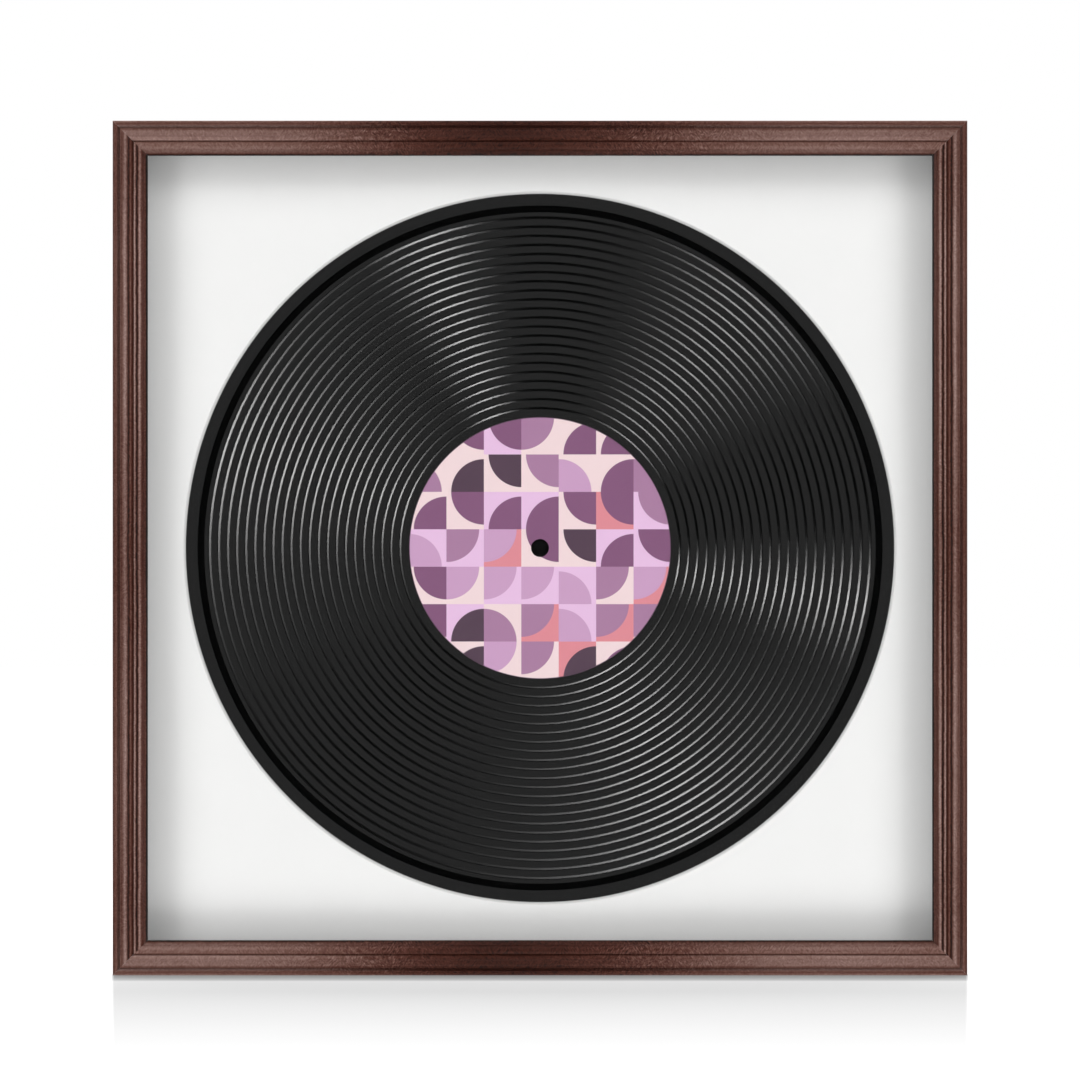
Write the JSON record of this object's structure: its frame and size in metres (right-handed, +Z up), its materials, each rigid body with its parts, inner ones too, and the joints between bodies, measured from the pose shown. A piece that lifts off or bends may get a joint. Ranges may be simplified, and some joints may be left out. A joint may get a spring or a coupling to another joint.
{
  "type": "vinyl record frame",
  "caption": "Square moulded wooden wall frame showing a long-playing record behind a white mat with a round bevelled opening; turn buttons hold the back in.",
  "frame": {"origin": "where the hanger sits on its wall nail: the root of the sawtooth hanger's middle notch, on the wall's plane, which is the back of the wall bumpers", "axes": "+X to the viewer's right, +Z up, -Y out of the wall towards the viewer"},
  "size_m": [0.36, 0.0256, 0.36],
  "materials": {
    "stained_wood": "mahogany stain under satin lacquer",
    "clear_acrylic": "clear cast sheet, polished",
    "mat_paper": "white, finely textured face paper",
    "spacer_plastic": "black, extruded",
    "centring_card": "plain white card",
    "backing_hardboard": "brown hardboard, black inside",
    "record_vinyl": "pressed black vinyl",
    "label_paper": "printed, satin",
    "brass_plate": "brass-plated steel",
    "bright_steel": "zinc-plated",
    "bumper_rubber": "soft, matt"
  },
  "bodies": {
    "frame": {"rail_bottom": "stained_wood", "rail_left": "stained_wood", "rail_top": "stained_wood", "rail_right": "stained_wood", "corner_nail_bottom_left": "bright_steel", "corner_nail_top_left": "bright_steel", "corner_nail_top_right": "bright_steel", "corner_nail_bottom_right": "bright_steel", "spacer_bottom": "spacer_plastic", "spacer_left": "spacer_plastic", "spacer_top": "spacer_plastic", "spacer_right": "spacer_plastic", "glazing_panel": "clear_acrylic", "mat_board": "mat_paper", "centring_board": "centring_card", "backing_board": "backing_hardboard", "record_disc": "record_vinyl", "record_label_front": "label_paper", "record_label_back": "label_paper", "sawtooth_hanger": "bright_steel", "hanger_nail_left": "bright_steel", "hanger_nail_right": "bright_steel", "wall_bumper_left": "bumper_rubber", "wall_bumper_right": "bumper_rubber", "button_screw_bottom_left": "brass_plate", "button_screw_bottom_right": "brass_plate", "button_screw_left_upper": "brass_plate", "button_screw_left_lower": "brass_plate", "button_screw_top_left": "brass_plate", "button_screw_top_right": "brass_plate", "button_screw_right_upper": "brass_plate", "button_screw_right_lower": "brass_plate"},
    "turn_button_bottom_left": {"turn_button_bottom_left": "brass_plate"},
    "turn_button_bottom_right": {"turn_button_bottom_right": "brass_plate"},
    "turn_button_left_upper": {"turn_button_left_upper": "brass_plate"},
    "turn_button_left_lower": {"turn_button_left_lower": "brass_plate"},
    "turn_button_top_left": {"turn_button_top_left": "brass_plate"},
    "turn_button_top_right": {"turn_button_top_right": "brass_plate"},
    "turn_button_right_upper": {"turn_button_right_upper": "brass_plate"},
    "turn_button_right_lower": {"turn_button_right_lower": "brass_plate"}
  },
  "joints": [
    {"name": "swing_bottom_left", "type": "hinge", "parent": "frame", "child": "turn_button_bottom_left", "pos_m": [-0.09, -0.0029, -0.34925], "axis": [0, 1, 0], "continuous": true},
    {"name": "swing_bottom_right", "type": "hinge", "parent": "frame", "child": "turn_button_bottom_right", "pos_m": [0.09, -0.0029, -0.34925], "axis": [0, 1, 0], "continuous": true},
    {"name": "swing_left_upper", "type": "hinge", "parent": "frame", "child": "turn_button_left_upper", "pos_m": [-0.17575, -0.0029, -0.0835], "axis": [0, 1, 0], "continuous": true},
    {"name": "swing_left_lower", "type": "hinge", "parent": "frame", "child": "turn_button_left_lower", "pos_m": [-0.17575, -0.0029, -0.2635], "axis": [0, 1, 0], "continuous": true},
    {"name": "swing_top_left", "type": "hinge", "parent": "frame", "child": "turn_button_top_left", "pos_m": [-0.09, -0.0029, 0.00225], "axis": [0, 1, 0], "continuous": true},
    {"name": "swing_top_right", "type": "hinge", "parent": "frame", "child": "turn_button_top_right", "pos_m": [0.09, -0.0029, 0.00225], "axis": [0, 1, 0], "continuous": true},
    {"name": "swing_right_upper", "type": "hinge", "parent": "frame", "child": "turn_button_right_upper", "pos_m": [0.17575, -0.0029, -0.0835], "axis": [0, 1, 0], "continuous": true},
    {"name": "swing_right_lower", "type": "hinge", "parent": "frame", "child": "turn_button_right_lower", "pos_m": [0.17575, -0.0029, -0.2635], "axis": [0, 1, 0], "continuous": true}
  ]
}
